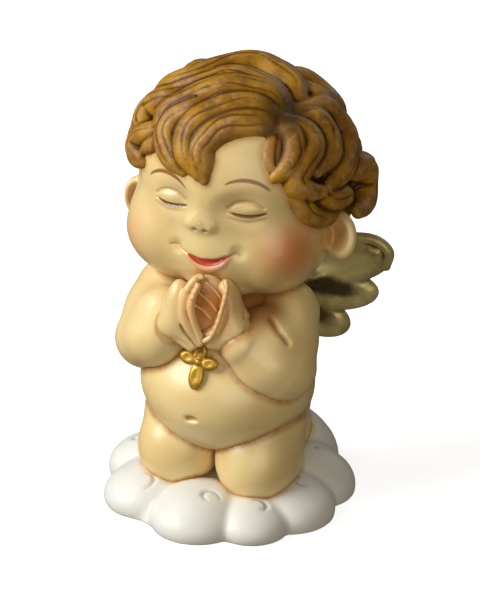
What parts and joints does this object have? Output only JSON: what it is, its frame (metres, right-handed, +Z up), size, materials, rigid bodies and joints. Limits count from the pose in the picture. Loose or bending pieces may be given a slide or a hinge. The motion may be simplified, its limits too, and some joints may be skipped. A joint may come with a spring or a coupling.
{
  "type": "praying cherub figurine",
  "caption": "Kneeling winged cherub figurine, hands held together over a petalled cross, on a low cloud base with a felt pad underneath.",
  "frame": {"origin": "middle of the flat underside, on the face of the felt pad", "axes": "+Z up, the figure faces -Y, and its own left side is +X"},
  "size_m": [0.0516, 0.0523, 0.0864],
  "materials": {
    "skin": "cream painted resin, satin, brown wash in the creases",
    "hair_brown": "golden brown painted resin, satin, dark wash in the grooves",
    "old_gold": "antique olive gold paint, soft metallic",
    "bright_gold": "bright yellow gold paint, metallic",
    "white_cloud": "satin white painted resin",
    "felt": "dark green felt",
    "peg_steel": "plain steel pin"
  },
  "bodies": {
    "root": {"cloud_base": "white_cloud", "felt_pad": "felt", "left_leg": "skin", "left_knee_peg": "peg_steel", "right_leg": "skin", "right_knee_peg": "peg_steel", "torso": "skin", "neck_peg": "peg_steel", "head": "skin", "hair": "hair_brown", "left_arm": "skin", "left_hand": "skin", "left_wing": "old_gold", "left_wing_peg": "peg_steel", "right_arm": "skin", "right_hand": "skin", "right_wing": "old_gold", "right_wing_peg": "peg_steel", "cross_pendant": "bright_gold"}
  },
  "joints": []
}
